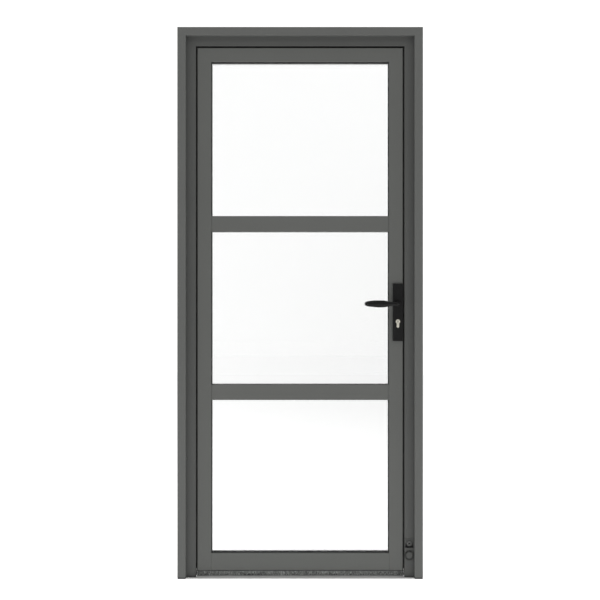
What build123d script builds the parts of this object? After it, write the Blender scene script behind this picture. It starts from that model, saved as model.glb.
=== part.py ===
"""PVC front door: a glazed leaf that swings inwards in its frame, with hinges, lock and levers."""

# X runs from the hinge side to the lock side, Y from outside to inside, Z up from the floor.
# A section is drawn in u and v: u is measured inwards from the door's outer edge, v back from its front face.
# Lengths are in millimetres. A solid that cuts another runs 1 mm past the faces that it opens.
from build123d import *
import os

HINGE = -1
LOCK = 1

# Whole door
frame_width = 970.0
frame_height = 2180.0
frame_depth = 80.0

# Frame profile
rim_width = 33.0
rim_step = 22.0
face_width = 71.9
nose_thickness = 20.0
body_width = 53.0
profile_wall = 3.0
outer_chamber = 9.0
edge_radius = 1.5

# Frame reinforcement and fixings
steel_wall = 2.0
steel_play = 0.3
steel_end_gap = 12.0
fixing_hole = 8.0
fixing_end = 180.0
fixing_count = 4
foot_height = 6.0
foot_inset = 0.5

# Threshold
sill_thickness = 2.5
sill_play = 0.5
sill_nosing = 1.0
sill_screw_hole = 5.5
sill_screw_inset = 37.6
sill_screw_count = 4

# Gaps between the frame and the leaf
front_gap = 5.5
leaf_setback = 4.0
seal_gap = 8.0
hardware_gap = 12.4
overlap_gap = 4.0
floor_gap = 28.9
seal_play = 0.3

# Leaf profile
stile_face = 54.5
lip_thickness = 8.0
glazing_depth = 19.9
flange_overlap = 8.0
flange_thickness = 12.0
rail_face = 68.4
front_chamber = 10.0
groove_width = 12.0
groove_depth = 8.0
groove_wall = 7.0
end_cap = 3.0

# Glass unit
outer_gasket = 4.0
inner_gasket = 3.0
gasket_sight = 2.9
gasket_cover = 9.9
pane_thickness = 4.0
cavity = 20.0
glass_play = 5.0
spacer_offset = 3.0
spacer_width = 11.5
block_length = 100.0
block_spacing = 540.0

# Glazing beads
bead_play = 0.5
bead_nose = 8.0
bead_shoulder = 9.0
bead_wall = 2.0
hook_depth = 1.5
hook_height = 3.0
hook_back = 9.0
hook_play = 0.2

# Glazing bars
bar_height = 62.4
bar_thickness = 9.0
bar_radius = 2.5
top_pane_extra = 5.6
inner_bar_height = 56.0
inner_bar_play = 1.0

# Brush under the leaf
holder_height = 8.0
holder_depth = 14.0
holder_slot = 6.0
holder_roof = 3.0
holder_front = 47.0
brush_play = 0.3
brush_end_gap = 1.1

# Hinges
hinge_low = 200.0
hinge_top_gap = 230.0
hinge_offset = 13.0
hinge_sink = 2.0
knuckle_radius = 9.5
knuckle_length = 40.0
hinge_pin_radius = 4.0
hinge_pin_play = 0.05
hinge_cap = 2.5
washer_thickness = 1.0
washer_play = 0.1
frame_plate_thickness = 3.0
frame_plate_reach = 24.0
sash_plate_thickness = 4.0
sash_plate_width = 35.0
hinge_plate_height = 84.0

# Lock
faceplate_width = 16.0
faceplate_thickness = 3.0
faceplate_inset = 150.0
case_depth = 44.0
case_thickness = 15.0
case_wall = 1.5
case_above = 10.0
case_below = 26.9
case_play = 0.3
bolt_thickness = 11.0
bolt_play = 0.3
latch_height = 20.0
latch_rise = 23.6
latch_reach = 9.0
latch_length = 41.6
latch_bevel = 8.0
dead_bolt_height = 26.0
dead_bolt_drop = 37.4
dead_bolt_throw = 20.0
pocket_play = 0.8
pocket_end = 2.0
dead_bolt_length = 41.6
follower_radius = 11.0
follower_hub = 8.0
follower_thickness = 11.4
spindle_size = 8.0
spindle_play = 0.1

# Drive rods and their rollers
rod_width = 10.0
rod_thickness = 2.5
rod_play = 0.4
rod_travel = 18.0
rod_inset = 280.0
rod_end_gap = 2.0
roller_radius = 4.0
roller_reach = 6.0
roller_inset = 330.0

# Keeps on the lock side of the frame
keep_plate = 2.5
keep_width = 22.5
keep_lip = 3.0
keep_stand = 7.0
keep_play = 0.7
keep_margin = 12.0
roller_keep_half = 35.0

# Key cylinder
key_drop = 70.0
cylinder_radius = 8.5
cylinder_leg = 10.0
cylinder_height = 33.0
cylinder_stand = 1.5
cylinder_play = 0.4
plug_radius = 6.5
plug_play = 0.1
cam_width = 10.0
cam_reach = 12.0
cam_play = 0.2
keyway_width = 2.4
keyway_height = 8.0
keyway_depth = 30.0
screw_drop = 19.0
screw_radius = 2.4

# Handles
lever_height = 1086.4
backset = 35.0
plate_width = 40.0
plate_thickness = 8.0
plate_length = 228.0
plate_drop = 33.6
plate_radius = 1.5
plate_screw_gap = 10.0
plate_screw_radius = 2.5
collar_radius = 13.0
collar_thickness = 3.0
neck_radius = 8.5
neck_play = 0.3
neck_sink = 6.0
lever_bend = 12.0
lever_stand = 48.0
socket_depth = 22.0

# Half height and half depth of the lever's grip at stations along it, from the shoulder to the tip
grip_sections = (
    (37.0, 8.6, 8.2),
    (44.0, 11.2, 7.5),
    (50.0, 12.7, 7.0),
    (68.0, 13.0, 6.8),
    (86.0, 12.3, 6.4),
    (109.0, 10.7, 5.8),
    (120.0, 8.2, 4.8),
    (125.0, 4.2, 2.8),
)

# Fitting low on the lock jamb
fitting_plate = 2.0
fitting_plate_play = 0.5
fitting_plate_ends = (66.0, 155.0)
fitting_window = (119.0, 137.0)
fitting_margin = 3.0
keeper_box_depth = 12.0
keeper_box_wall = 1.5
keeper_box_play = 0.3
buffer_height = 89.5
buffer_radius = 18.5
buffer_bore = 13.5
buffer_stand = 5.0
buffer_round = 2.0
buffer_cap_play = 0.3
buffer_cap_stand = 4.0
eye_radius = 11.0
eye_bore = 3.0
eye_stand = 4.0

# Places that follow from the sizes above
half_width = frame_width / 2
nose_back = rim_step + nose_thickness
frame_steel_u = (2 * profile_wall + outer_chamber, body_width - profile_wall)
leaf_front = rim_step + leaf_setback
leaf_face_u = face_width + front_gap
leaf_edge_u = body_width + hardware_gap
shoulder_v = nose_back + seal_gap
flange_front = frame_depth + overlap_gap
leaf_back = flange_front + flange_thickness
flange_u = body_width - flange_overlap
lip_u = leaf_face_u + stile_face
lip_back = leaf_front + lip_thickness
glazing_u = lip_u - glazing_depth
leaf_middle_v = (leaf_front + leaf_back) / 2
hardware_v = (shoulder_v + flange_front) / 2
steel_front_v = leaf_front + profile_wall + front_chamber + profile_wall
steel_u = leaf_edge_u + groove_depth + groove_wall

glass_front = lip_back + outer_gasket
cavity_front = glass_front + pane_thickness
cavity_back = cavity_front + cavity
glass_back = cavity_back + pane_thickness
bead_front = glass_back + inner_gasket
bead_back = leaf_back - bead_play
rebate_half = half_width - glazing_u
rebate_bottom = floor_gap + rail_face - glazing_depth
rebate_top = frame_height - glazing_u

daylight_bottom = floor_gap + rail_face
daylight_top = frame_height - lip_u
pane_height = (daylight_top - daylight_bottom - 2 * bar_height - top_pane_extra) / 3
lower_bar = daylight_bottom + pane_height + bar_height / 2
bar_heights = (lower_bar, lower_bar + pane_height + bar_height)

hinge_top = frame_height - hinge_top_gap
hinge_heights = (hinge_low, (hinge_low + hinge_top) / 2, hinge_top)
hinge_u = flange_u - hinge_offset
hinge_v = leaf_back - hinge_sink
faceplate_u = leaf_edge_u - faceplate_thickness
handle_u = faceplate_u + backset
case_back_u = leaf_edge_u + case_depth
latch_height_z = lever_height + latch_rise
dead_bolt_z = lever_height - dead_bolt_drop
key_height = lever_height - key_drop
plate_centre_z = lever_height - plate_drop
plate_front = leaf_front - plate_thickness
case_ends = (
    key_height + cylinder_radius - cylinder_height - case_below,
    latch_height_z + latch_height / 2 + case_above,
)
faceplate_ends = (faceplate_inset, frame_height - faceplate_inset)
rod_ends = (rod_inset, frame_height - rod_inset)
roller_heights = (roller_inset, frame_height - roller_inset)
grip_v = leaf_front - lever_stand
rod_u = leaf_edge_u + rod_play


def door_y(v):
    """Y of a depth behind the door's front face."""
    return v - frame_depth / 2


def side_x(u, side=LOCK):
    """X of a distance inwards from the outer edge, on one side of the door."""
    return side * (half_width - u)


def block(x, v, z):
    """A box from its low and high limits in X, in depth and in Z."""
    centre = (sum(x) / 2, door_y(sum(v) / 2), sum(z) / 2)
    return Pos(*centre) * Box(x[1] - x[0], v[1] - v[0], z[1] - z[0])


def side_block(u, v, z, side=LOCK):
    """A box from its limits in u, v and Z, on one side of the door."""
    return block(sorted(side_x(value, side) for value in u), v, z)


def around(middle, size):
    """Low and high limits of a size centred on a middle."""
    return (middle - size / 2, middle + size / 2)


def rod_y(x, z, radius, v):
    """A cylinder along Y between two depths."""
    return Pos(x, door_y(sum(v) / 2), z) * Rot(90, 0, 0) * Cylinder(radius, v[1] - v[0])


def rod_x(v, z, radius, u, side=LOCK):
    """A cylinder along X between two values of u."""
    middle = side_x(sum(u) / 2, side)
    return Pos(middle, door_y(v), z) * Rot(0, 90, 0) * Cylinder(radius, u[1] - u[0])


def window(u, v):
    """A rectangle in a section."""
    return Pos(sum(u) / 2, sum(v) / 2) * Rectangle(u[1] - u[0], v[1] - v[0])


def outline(corners):
    """A closed section from corners given as u, v and the corner's radius."""
    points = [(u, v) for u, v, radius in corners]
    return make_face(FilletPolyline(*points, radius=[radius for u, v, radius in corners], close=True))


def profile(section, length, mitre_start=False, mitre_end=False):
    """A length of profile along +Z from a section, with 45 degree cuts at u = 0 where asked."""
    bar = extrude(section, amount=length)
    if mitre_start:
        bar = split(bar, bisect_by=Plane(origin=(0, 0, 0), z_dir=(-1, 0, 1)), keep=Keep.TOP)
    if mitre_end:
        bar = split(bar, bisect_by=Plane(origin=(0, 0, length), z_dir=(-1, 0, -1)), keep=Keep.TOP)
    return bar


def upright(bar, bottom, edge=half_width):
    """A profile stood up on the hinge side, its u = 0 at the given half width."""
    return Pos(-edge, door_y(0), bottom) * bar


def level(bar, top, edge=half_width):
    """A profile laid along +X, its u measured down from the given height."""
    return Plane(origin=(-edge, door_y(0), top), x_dir=(0, 0, -1), z_dir=(1, 0, 0)).location * bar


def level_below(bar, bottom, edge=half_width):
    """A profile laid along -X, its u measured up from the given height."""
    return Plane(origin=(edge, door_y(0), bottom), x_dir=(0, 0, 1), z_dir=(-1, 0, 0)).location * bar


def other_side(piece):
    """The same piece on the door's other side."""
    return mirror(piece, about=Plane.YZ)


def three_sides(section, bottom):
    """One section up both sides and across the top, mitred at the corners."""
    left = upright(profile(section, frame_height - bottom, mitre_end=True), bottom)
    head = level(profile(section, frame_width, mitre_start=True, mitre_end=True), frame_height)
    return left, other_side(left), head


def glazing_frame(inset, v):
    """A rectangular ring in the glazing rebate, between two insets from its edges."""
    return glazing_panel(inset[0], v) - glazing_panel(inset[1], (v[0] - 1, v[1] + 1))


def glazing_panel(inset, v):
    """A flat panel in the glazing rebate, inset from its edges."""
    half = rebate_half - inset
    return block((-half, half), v, (rebate_bottom + inset, rebate_top - inset))


# Sections

def frame_section():
    """The frame's outline with its chambers."""
    return frame_outline() - frame_chambers()


def frame_outline():
    return outline([
        (0, 0, edge_radius),
        (rim_width, 0, edge_radius),
        (rim_width, rim_step, 0),
        (face_width, rim_step, edge_radius),
        (face_width, nose_back, edge_radius / 2),
        (body_width, nose_back, 0),
        (body_width, frame_depth, edge_radius / 2),
        (0, frame_depth, edge_radius / 2),
    ])


def frame_chambers():
    rim = window((profile_wall, rim_width - profile_wall), (profile_wall, nose_back - profile_wall))
    nose = window((rim_width, face_width - profile_wall), (rim_step + profile_wall, nose_back - profile_wall))
    back = (nose_back, frame_depth - profile_wall)
    outer = window((profile_wall, profile_wall + outer_chamber), back)
    return rim + nose + outer + window(frame_steel_u, back)


def steel_tube(u, v):
    """A rectangular steel tube's section, a little smaller than its chamber."""
    outer = window((u[0] + steel_play, u[1] - steel_play), (v[0] + steel_play, v[1] - steel_play))
    inset = steel_play + steel_wall
    return outer - window((u[0] + inset, u[1] - inset), (v[0] + inset, v[1] - inset))


def leaf_section():
    """The stile's outline with its chambers, hardware groove and bead slot."""
    shape = outline([
        (leaf_face_u, leaf_front, edge_radius),
        (lip_u, leaf_front, edge_radius),
        (lip_u, lip_back, edge_radius / 3),
        (glazing_u, lip_back, 0),
        (glazing_u, leaf_back, edge_radius / 3),
        (flange_u, leaf_back, edge_radius),
        (flange_u, flange_front, edge_radius / 2),
        (leaf_edge_u, flange_front, 0),
        (leaf_edge_u, shoulder_v, edge_radius / 2),
        (leaf_face_u, shoulder_v, 0),
    ])
    groove = window((leaf_edge_u - 1, leaf_edge_u + groove_depth), around(hardware_v, groove_width))
    return shape - leaf_chambers() - groove - bead_slot(glazing_u)


def leaf_chambers():
    inner = glazing_u - profile_wall
    front = window(
        (leaf_face_u + profile_wall, inner),
        (leaf_front + profile_wall, leaf_front + profile_wall + front_chamber),
    )
    main = window((steel_u, inner), (steel_front_v, flange_front))
    back = window((flange_u + profile_wall, inner), (flange_front + profile_wall, leaf_back - profile_wall))
    groove = around(hardware_v, groove_width)
    side = (leaf_edge_u + profile_wall, steel_u - profile_wall)
    before = window(side, (shoulder_v + profile_wall, groove[0] - profile_wall))
    behind = window(side, (groove[1] + profile_wall, flange_front - profile_wall))
    return front + main + back + before + behind


def bead_slot(u):
    """The slot that a bead's hook clips into, cut from the rebate's floor at u."""
    v = hook_limits()
    return window((u - hook_depth - hook_play, u + 1), (v[0] - hook_play, v[1] + hook_play))


def hook_limits():
    return (bead_front + hook_back, bead_front + hook_back + hook_height)


def rail_section():
    """The bottom rail's section, with u measured up from the rail's bottom."""
    floor_u = rail_face - glazing_depth
    shape = outline([
        (0, leaf_front, edge_radius),
        (rail_face, leaf_front, edge_radius),
        (rail_face, lip_back, edge_radius / 3),
        (floor_u, lip_back, 0),
        (floor_u, leaf_back, edge_radius / 3),
        (0, leaf_back, edge_radius),
    ])
    u = (profile_wall, floor_u - profile_wall)
    front = window(u, (leaf_front + profile_wall, leaf_front + profile_wall + front_chamber))
    back = window(u, (flange_front + profile_wall, leaf_back - profile_wall))
    return shape - front - window(u, (steel_front_v, flange_front)) - back - bead_slot(floor_u)


def bead_section():
    """A hollow bead with a sloped face and a hook, with u = 0 on the rebate's floor."""
    shape = outline([
        (0, bead_front, 0),
        (glazing_depth, bead_front, edge_radius / 3),
        (glazing_depth, bead_front + bead_nose, 2 * edge_radius),
        (bead_shoulder, bead_back, edge_radius),
        (0, bead_back, 0),
    ])
    hollow = outline([
        (bead_wall, bead_front + bead_wall, 0),
        (glazing_depth - bead_wall, bead_front + bead_wall, 0),
        (glazing_depth - bead_wall, bead_front + bead_nose - bead_wall / 2, 0),
        (bead_shoulder - bead_wall / 2, bead_back - bead_wall, 0),
        (bead_wall, bead_back - bead_wall, 0),
    ])
    return shape - hollow + window((-hook_depth, bead_wall), hook_limits())


def cylinder_outline(grow=0.0):
    """The key cylinder's outline about its axis: a round head with a narrower leg below."""
    leg_bottom = cylinder_radius - cylinder_height
    leg = cylinder_leg + 2 * grow
    middle = (leg_bottom + cylinder_leg / 2) / 2
    shape = Circle(cylinder_radius + grow) + Pos(0, middle) * Rectangle(leg, -2 * middle)
    return shape + Pos(0, leg_bottom + cylinder_leg / 2) * Circle(leg / 2)


def along_y(section, x, z, v):
    """A section in X and Z, drawn about a point and run between two depths."""
    plane = Plane(origin=(x, door_y(v[1]), z), x_dir=(1, 0, 0), z_dir=(0, -1, 0))
    return plane.location * extrude(section, amount=v[1] - v[0])


# Frame

def fixing_heights():
    """Heights of the wall fixings, evenly spaced between the two ends."""
    step = (frame_height - 2 * fixing_end) / (fixing_count - 1)
    return [fixing_end + index * step for index in range(fixing_count)]


def fixing_holes(side):
    v = (nose_back + frame_depth) / 2
    return [rod_x(v, z, fixing_hole / 2, (-1, body_width + 1), side) for z in fixing_heights()]


def dead_bolt_pocket():
    """The hole through the lock jamb and its steel that the dead bolt enters."""
    height = dead_bolt_height + 2 * pocket_play
    depth = bolt_thickness + 2 * pocket_play
    reach = faceplate_u - dead_bolt_throw - pocket_end
    return side_block((reach, body_width + 1), around(hardware_v, depth), around(dead_bolt_z, height))


def make_frame():
    left, right, head = three_sides(frame_section(), foot_height)
    steel = steel_tube(frame_steel_u, (nose_back, frame_depth - profile_wall))
    gap = body_width + steel_end_gap
    post = upright(profile(steel, frame_height - gap - foot_height), foot_height)
    beam = Pos(gap, 0, 0) * level(profile(steel, frame_width - 2 * gap), frame_height)
    left_holes = fixing_holes(HINGE)
    right_holes = fixing_holes(LOCK) + [dead_bolt_pocket()]
    u, v, z = keeper_box_limits(keeper_box_wall + keeper_box_play)
    return {
        "jamb_hinge_side": left - left_holes,
        "jamb_lock_side": right - right_holes - side_block(u, (v[0] - 1, v[1]), z),
        "head": head,
        "frame_steel": Compound([post - left_holes, other_side(post) - right_holes, beam]),
        "jamb_feet": make_feet(),
        "sill": make_sill(),
        "frame_seal": make_frame_seal(),
    }


def make_feet():
    """A pad of the frame's outline under each jamb."""
    shape = offset(frame_outline(), -foot_inset, kind=Kind.INTERSECTION)
    pad = upright(extrude(shape, amount=foot_height), 0)
    return Compound([pad, other_side(pad)])


def make_sill():
    """A thin threshold plate that also fills the floor between the two rims."""
    front = half_width - rim_width - sill_play
    back = half_width - face_width - sill_play
    z = (0, sill_thickness)
    nosing = block((-front, front), (sill_nosing, rim_step - sill_play), z)
    plate = nosing + block((-back, back), (rim_step - sill_play, frame_depth), z)
    edges = plate.edges().filter_by(Axis.X).sort_by(Axis.Y)[:2]
    plate = fillet(edges.sort_by(Axis.Z)[-1], sill_nosing)
    v = (holder_front + holder_depth + frame_depth) / 2
    spacing = 2 * (back - sill_screw_inset) / (sill_screw_count - 1)
    for index in range(sill_screw_count):
        spot = Pos(index * spacing - back + sill_screw_inset, door_y(v), sill_thickness / 2)
        plate -= spot * Cylinder(sill_screw_hole / 2, 2 * sill_thickness)
    return plate


def make_frame_seal():
    """A tapered lip on the back of the nose, which the leaf's shoulder closes against."""
    width = (face_width - leaf_edge_u) / 3
    tip = shoulder_v - seal_play
    root = face_width - width / 3
    shape = outline([
        (leaf_edge_u + width / 3, nose_back, 0),
        (root, nose_back, 0),
        (root, nose_back + width, 0.5),
        (root - width / 2, tip, 0.8),
        (leaf_edge_u + width, tip, 0.8),
        (leaf_edge_u + width / 3, nose_back + width, 0.5),
    ])
    left, right, head = three_sides(shape, foot_height)
    return left + right + head


# Keeps

def make_lock_keep():
    """A plate with windows for both bolts, and a lip behind the latch."""
    low = dead_bolt_z - dead_bolt_height / 2 - keep_margin
    high = latch_height_z + latch_height / 2 + keep_margin
    lip_v = hardware_v + bolt_thickness / 2 + keep_play
    v = (hardware_v - keep_width / 2, lip_v + keep_lip)
    plate = side_block((body_width, body_width + keep_plate), v, (low, high))
    lip_z = around(latch_height_z, latch_height + 2)
    lip = side_block((body_width, body_width + keep_stand), (lip_v, lip_v + keep_lip), lip_z)
    depth = around(hardware_v, bolt_thickness + 2 * keep_play)
    reach = (body_width - 1, body_width + keep_plate + 1)
    for middle, height in ((latch_height_z, latch_height), (dead_bolt_z, dead_bolt_height)):
        plate -= side_block(reach, depth, around(middle, height + 2 * keep_play))
    return plate + lip


def make_roller_keep(height):
    """A plate with a lip that stands behind the roller once the rod has risen."""
    lip_v = hardware_v + roller_radius + keep_play
    v = (hardware_v - keep_width / 2, lip_v + keep_lip)
    plate = side_block((body_width, body_width + keep_plate), v, around(height, 2 * roller_keep_half))
    locked = height + rod_travel
    lip_z = (height + roller_radius + 2 * keep_play, locked + roller_radius + 2)
    lip = side_block((body_width, body_width + keep_stand), (lip_v, lip_v + keep_lip), lip_z)
    return plate + lip


# Hinges

def make_hinge(height):
    """The frame knuckle, the sash knuckle, the pin and the washer of one hinge."""
    x = side_x(hinge_u, HINGE)
    y = door_y(hinge_v)
    half_gap = washer_thickness / 2
    low = (height - half_gap - knuckle_length, height - half_gap)
    high = (height + half_gap, height + half_gap + knuckle_length)

    def upright_rod(radius, z):
        return Pos(x, y, sum(z) / 2) * Cylinder(radius, z[1] - z[0])

    plate_z = (low[0] - (hinge_plate_height - 2 * knuckle_length) / 2, low[1])
    plate_v = (frame_depth, frame_depth + frame_plate_thickness)
    plate_u = (hinge_u - frame_plate_reach, hinge_u + knuckle_radius)
    arm_u = (hinge_u - knuckle_radius, hinge_u + knuckle_radius / 2)
    frame_side = side_block(plate_u, plate_v, plate_z, HINGE) + upright_rod(knuckle_radius, low)
    frame_side += side_block(arm_u, (frame_depth, hinge_v), low, HINGE)
    bore = upright_rod(hinge_pin_radius + hinge_pin_play, (low[0] + hinge_cap, low[1] + 1))
    frame_side -= bore

    sash_v = (leaf_back, leaf_back + sash_plate_thickness)
    sash_z = (high[0], high[1] + (hinge_plate_height - 2 * knuckle_length) / 2)
    sash_u = (flange_u + 2, flange_u + 2 + sash_plate_width)
    sash_side = side_block(sash_u, sash_v, sash_z, HINGE) + upright_rod(knuckle_radius, high)
    sash_side += side_block((hinge_u + knuckle_radius / 2, sash_u[0]), sash_v, high, HINGE)
    sash_side -= upright_rod(hinge_pin_radius + hinge_pin_play, (high[0] - 1, high[1] - hinge_cap))

    pin = upright_rod(hinge_pin_radius, (low[0] + hinge_cap, high[1] - hinge_cap - hinge_pin_play))
    washer = upright_rod(knuckle_radius - 1, (low[1], high[0] - washer_play))
    washer -= upright_rod(hinge_pin_radius + hinge_pin_play, (low[1] - 1, high[0] + 1))
    return frame_side, sash_side, pin, washer


def make_hinges():
    nodes = {}
    pins = []
    washers = []
    for name, height in zip(("lower", "middle", "upper"), hinge_heights):
        frame_side, sash_side, pin, washer = make_hinge(height)
        nodes[f"hinge_frame_{name}"] = frame_side
        nodes[f"hinge_sash_{name}"] = sash_side
        pins.append(pin)
        washers.append(washer)
    nodes["hinge_pins"] = Compound(pins)
    nodes["hinge_washers"] = Compound(washers)
    return nodes


# Leaf

def handle_bores():
    """What the spindle, the key cylinder and the handle screws pass through, from face to face."""
    x = side_x(handle_u)
    v = (leaf_front - 1, leaf_back + 1)
    spindle = rod_y(x, lever_height, follower_radius, v)
    cylinder = along_y(cylinder_outline(cylinder_play), x, key_height, v)
    screws = [rod_y(x, z, plate_screw_radius + neck_play, v) for z in plate_screw_heights()]
    return [spindle, cylinder] + screws


def plate_screw_heights():
    return (case_ends[0] - plate_screw_gap, case_ends[1] + plate_screw_gap)


def case_pocket():
    """The mortise in the lock stile that the lock case slides into from the edge."""
    v = around(hardware_v, case_thickness + 2 * case_play)
    return side_block((leaf_edge_u - 1, case_back_u + case_play), v, (case_ends[0] - 1, case_ends[1] + 1))


def make_leaf_profiles():
    section = leaf_section()
    left, right, head = three_sides(section, floor_gap)
    cuts = handle_bores() + [case_pocket()]
    rail = level_below(profile(rail_section(), 2 * rebate_half), floor_gap, rebate_half)
    lip_half = half_width - lip_u
    for side in (HINGE, LOCK):
        ends = sorted((side * lip_half, side * (rebate_half + 1)))
        rail -= block(ends, (leaf_front - 1, lip_back), (floor_gap - 1, floor_gap + rail_face + 1))
    chambers = extrude(leaf_chambers(), amount=end_cap)
    cap = upright(chambers, floor_gap)
    return {
        "stile_hinge_side": left,
        "stile_lock_side": right - cuts,
        "top_rail": head,
        "bottom_rail": rail,
        "leaf_steel": make_leaf_steel(cuts),
        "stile_end_caps": Compound(list(cap.solids()) + list(other_side(cap).solids())),
        "leaf_seal": make_leaf_seal(),
    }


def make_leaf_steel(cuts):
    """Steel tubes in the main chambers of the stiles and of both rails."""
    v = (steel_front_v, flange_front)
    tube = steel_tube((steel_u, glazing_u - profile_wall), v)
    gap = glazing_u + steel_end_gap
    low = floor_gap + end_cap + 1
    post = upright(profile(tube, frame_height - gap - low), low)
    beam = Pos(gap, 0, 0) * level(profile(tube, frame_width - 2 * gap), frame_height)
    floor_u = rail_face - glazing_depth
    rail_tube = steel_tube((profile_wall, floor_u - profile_wall), v)
    rail = level_below(profile(rail_tube, 2 * rebate_half - 2), floor_gap, rebate_half - 1)
    return Compound([post, other_side(post) - cuts, beam, rail])


def make_leaf_seal():
    """A lip under the leaf's flange, which closes against the frame's back."""
    inset = profile_wall / 3
    shape = outline([
        (flange_u + inset, flange_front, 0),
        (body_width - inset, flange_front, 0),
        (body_width - 2 * inset, frame_depth + seal_play, 1),
        (flange_u + 2 * inset, frame_depth + seal_play, 1),
    ])
    left, right, head = three_sides(shape, floor_gap)
    return left + right + head


def make_brush():
    """A brush in a channel along the leaf's bottom edge, just clear of the sill."""
    half = half_width - face_width - brush_end_gap
    top = floor_gap
    holder_v = (holder_front, holder_front + holder_depth)
    slot_v = around(holder_front + holder_depth / 2, holder_slot)
    roof = top - holder_roof
    holder = block((-half, half), holder_v, (top - holder_height, top))
    holder -= block((-half - 1, half + 1), slot_v, (top - holder_height - 1, roof))
    bristles = block((-half, half), slot_v, (sill_thickness + brush_play, roof))
    return {"brush_holder": holder, "brush": bristles}


# Glazing

def make_glass():
    hidden = glazing_depth - gasket_cover
    gasket_edge = glazing_depth + gasket_sight
    spacer = glazing_frame((glass_play + spacer_offset, glass_play + spacer_offset + spacer_width),
                           (cavity_front, cavity_back))
    reach = rebate_half - glass_play - spacer_offset - spacer_width
    depth = (cavity_front + inner_bar_play, cavity_back - inner_bar_play)
    for height in bar_heights:
        spacer += block((-reach, reach), depth, around(height, inner_bar_height))
    blocks = [
        block(around(place * block_spacing / 2, block_length), (glass_front - 2, bead_front - 1),
              (rebate_bottom, rebate_bottom + glass_play))
        for place in (HINGE, LOCK)
    ]
    return {
        "glass_outer_pane": glazing_panel(glass_play, (glass_front, cavity_front)),
        "glass_inner_pane": glazing_panel(glass_play, (cavity_back, glass_back)),
        "glass_spacer": spacer,
        "gasket_outside": glazing_frame((hidden, gasket_edge), (lip_back, glass_front)),
        "gasket_inside": glazing_frame((hidden - 2, gasket_edge - 1), (glass_back, bead_front)),
        "setting_blocks": Compound(blocks),
    }


def make_beads():
    section = bead_section()
    height = rebate_top - rebate_bottom
    side = profile(section, height, mitre_start=True, mitre_end=True)
    left = upright(side, rebate_bottom, rebate_half)
    across = profile(section, 2 * rebate_half, mitre_start=True, mitre_end=True)
    top = level(across, rebate_top, rebate_half)
    bottom = level_below(across, rebate_bottom, rebate_half)
    return Compound([left, other_side(left), top, bottom])


def make_bar(height, v, rounded_v, gasket):
    """A bar stuck to the glass between the stiles, notched over the gasket at its ends."""
    half = half_width - lip_u
    bar = block((-half, half), v, around(height, bar_height))
    edges = bar.edges().filter_by(Axis.X).filter_by(lambda edge: abs(edge.center().Y - door_y(rounded_v)) < 0.01)
    return fillet(edges, bar_radius) - gasket


def make_bars(gasket_outside, gasket_inside):
    nodes = {}
    outside = (glass_front - bar_thickness, glass_front)
    inside = (glass_back, glass_back + bar_thickness)
    for name, height in zip(("lower", "upper"), bar_heights):
        nodes[f"bar_outside_{name}"] = make_bar(height, outside, outside[0], gasket_outside)
        nodes[f"bar_inside_{name}"] = make_bar(height, inside, inside[1], gasket_inside)
    return nodes


# Lock

def roller_slot(height):
    width = 2 * (roller_radius + bolt_play)
    z = (height - width / 2, height + rod_travel + width / 2)
    return side_block((faceplate_u - 1, leaf_edge_u + 1), around(hardware_v, width), z)


def make_faceplate():
    plate = side_block((faceplate_u, leaf_edge_u), around(hardware_v, faceplate_width), faceplate_ends)
    reach = (faceplate_u - 1, leaf_edge_u + 1)
    depth = around(hardware_v, bolt_thickness + 2 * bolt_play)
    for middle, height in ((latch_height_z, latch_height), (dead_bolt_z, dead_bolt_height)):
        plate -= side_block(reach, depth, around(middle, height + 2 * bolt_play))
    for height in roller_heights:
        plate -= roller_slot(height)
    return plate - rod_x(hardware_v, key_height - screw_drop, screw_radius, reach)


def make_case():
    """The lock case, with channels for both bolts and seats for the follower and the cylinder."""
    v = around(hardware_v, case_thickness)
    case = side_block((leaf_edge_u, case_back_u), v, case_ends)
    inner_v = around(hardware_v, bolt_thickness + 2 * bolt_play)
    channel = (leaf_edge_u - 1, case_back_u - case_wall)
    for middle, height in ((latch_height_z, latch_height), (dead_bolt_z, dead_bolt_height)):
        case -= side_block(channel, inner_v, around(middle, height + 2 * bolt_play))
    x = side_x(handle_u)
    through = (v[0] - 1, v[1] + 1)
    inner = around(hardware_v, follower_thickness + 2 * bolt_play)
    case -= rod_y(x, lever_height, follower_hub + bolt_play, through)
    case -= rod_y(x, lever_height, follower_radius + bolt_play, inner)
    case -= along_y(cylinder_outline(cylinder_play), x, key_height, through)
    case -= rod_y(x, key_height, cam_reach + bolt_play, inner)
    return case - rod_x(hardware_v, key_height - screw_drop, screw_radius, (leaf_edge_u - 1, handle_u))


def make_latch():
    """A bolt whose nose slopes on the side that meets the keep as the leaf closes."""
    front = faceplate_u - latch_reach
    v = around(hardware_v, bolt_thickness)
    z = around(latch_height_z, latch_height)
    bolt = side_block((front, front + latch_length), v, z)
    slope = Polyline((front, v[0]), (front + latch_bevel, v[0]), (front, v[1] - 1), close=True)
    cut = Pos(0, 0, z[0] - 1) * extrude(make_face(slope), amount=latch_height + 2)
    return bolt - Pos(half_width, door_y(0), 0) * mirror(cut, about=Plane.YZ)


def make_dead_bolt():
    """A square bolt, drawn back behind the faceplate."""
    v = around(hardware_v, bolt_thickness)
    z = around(dead_bolt_z, dead_bolt_height)
    return side_block((faceplate_u, faceplate_u + dead_bolt_length), v, z)


def make_follower():
    x = side_x(handle_u)
    hub = rod_y(x, lever_height, follower_hub, around(hardware_v, case_thickness - 2 * bolt_play))
    disc = rod_y(x, lever_height, follower_radius, around(hardware_v, follower_thickness))
    socket = spindle_size + 2 * spindle_play
    hole = block(around(x, socket), around(hardware_v, case_thickness), around(lever_height, socket))
    return hub + disc - hole


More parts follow.
